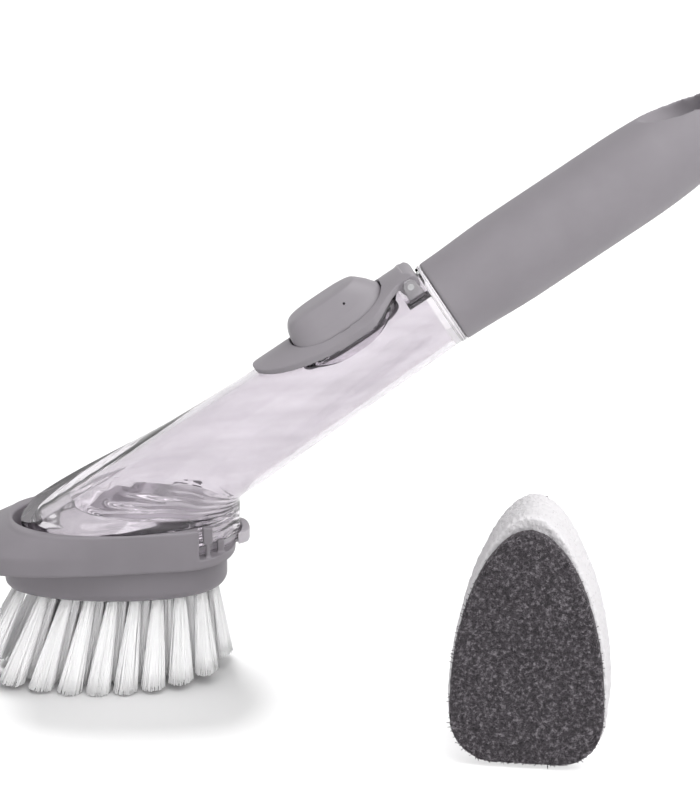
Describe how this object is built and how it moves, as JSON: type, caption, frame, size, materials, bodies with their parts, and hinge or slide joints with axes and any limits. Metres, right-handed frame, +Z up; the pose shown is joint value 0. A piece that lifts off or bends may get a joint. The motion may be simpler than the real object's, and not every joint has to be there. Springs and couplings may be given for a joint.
{
  "type": "dish wand",
  "caption": "Soap dispensing dish wand with a clear reservoir, a pump lid, a release latch and a swappable brush head, with a spare sponge head.",
  "frame": {"origin": "point on the axis of the grip where the hand holds it, 47 mm above the collar", "axes": "+X along the level projection of the wand towards the grip end, +Z up, the wand slopes 32.6 degrees upward along +X in the XZ plane"},
  "size_m": [0.2482, 0.1209, 0.1816],
  "materials": {
    "clear_shell": "clear moulded plastic, polished",
    "soft_grip": "soft satin grip skin",
    "core_plastic": "satin moulded",
    "frame_plastic": "satin moulded",
    "lid_plastic": "satin moulded",
    "button_plastic": "satin moulded",
    "tab_plastic": "satin moulded",
    "block_plastic": "satin moulded",
    "pale_plastic": "satin moulded, translucent",
    "dark_silicone": "matte",
    "pale_silicone": "matte, translucent",
    "steel": "drawn wire",
    "bristle": "nylon filaments, translucent white",
    "foam": "open cell foam",
    "scour_fibre": "bonded fibre pad"
  },
  "bodies": {
    "wand": {"reservoir_body": "clear_shell", "grip_sleeve": "soft_grip", "handle_core": "core_plastic", "head_frame": "frame_plastic", "valve_plate": "pale_plastic", "plate_gasket": "dark_silicone", "outlet_valve": "pale_silicone", "valve_cap": "pale_plastic", "hinge_pin": "steel"},
    "lid": {"lid_leaf": "lid_plastic", "lid_tray": "core_plastic", "port_gasket": "dark_silicone", "pump_bellows": "dark_silicone", "air_valve": "dark_silicone"},
    "button": {"pump_button": "button_plastic"},
    "latch": {"release_latch": "tab_plastic"},
    "brush_head": {"brush_block": "block_plastic", "tufts_outer": "bristle", "tufts_middle": "bristle", "tufts_centre": "bristle", "tuft_anchors": "steel", "channel_seal": "dark_silicone"},
    "sponge_head": {"sponge_plate": "block_plastic", "sponge_foam": "foam", "scour_pad": "scour_fibre"}
  },
  "joints": [
    {"name": "lid_hinge", "type": "hinge", "parent": "wand", "child": "lid", "pos_m": [-0.05147, 0, -0.01733], "axis": [0, 1, 0], "range_deg": [0, 105]},
    {"name": "pump_press", "type": "slide", "parent": "lid", "child": "button", "axis": [0.5388, 0, -0.8425], "range_m": [0, 0.0025], "stiffness_N_per_m": 800, "springref_m": -0.0005, "deforming": ["pump_bellows"]},
    {"name": "latch_pull", "type": "slide", "parent": "wand", "child": "latch", "axis": [1, 0, 0], "range_m": [0, 0.003], "stiffness_N_per_m": 150, "springref_m": -0.001},
    {"name": "head_release", "type": "hinge", "parent": "wand", "child": "brush_head", "pos_m": [-0.17882, 0, -0.09959], "axis": [0, 1, 0], "range_deg": [0, 30]},
    {"name": "spare_lift", "type": "slide", "parent": "wand", "child": "sponge_head", "axis": [0, 0, 1], "range_m": [0, 0.08]}
  ]
}
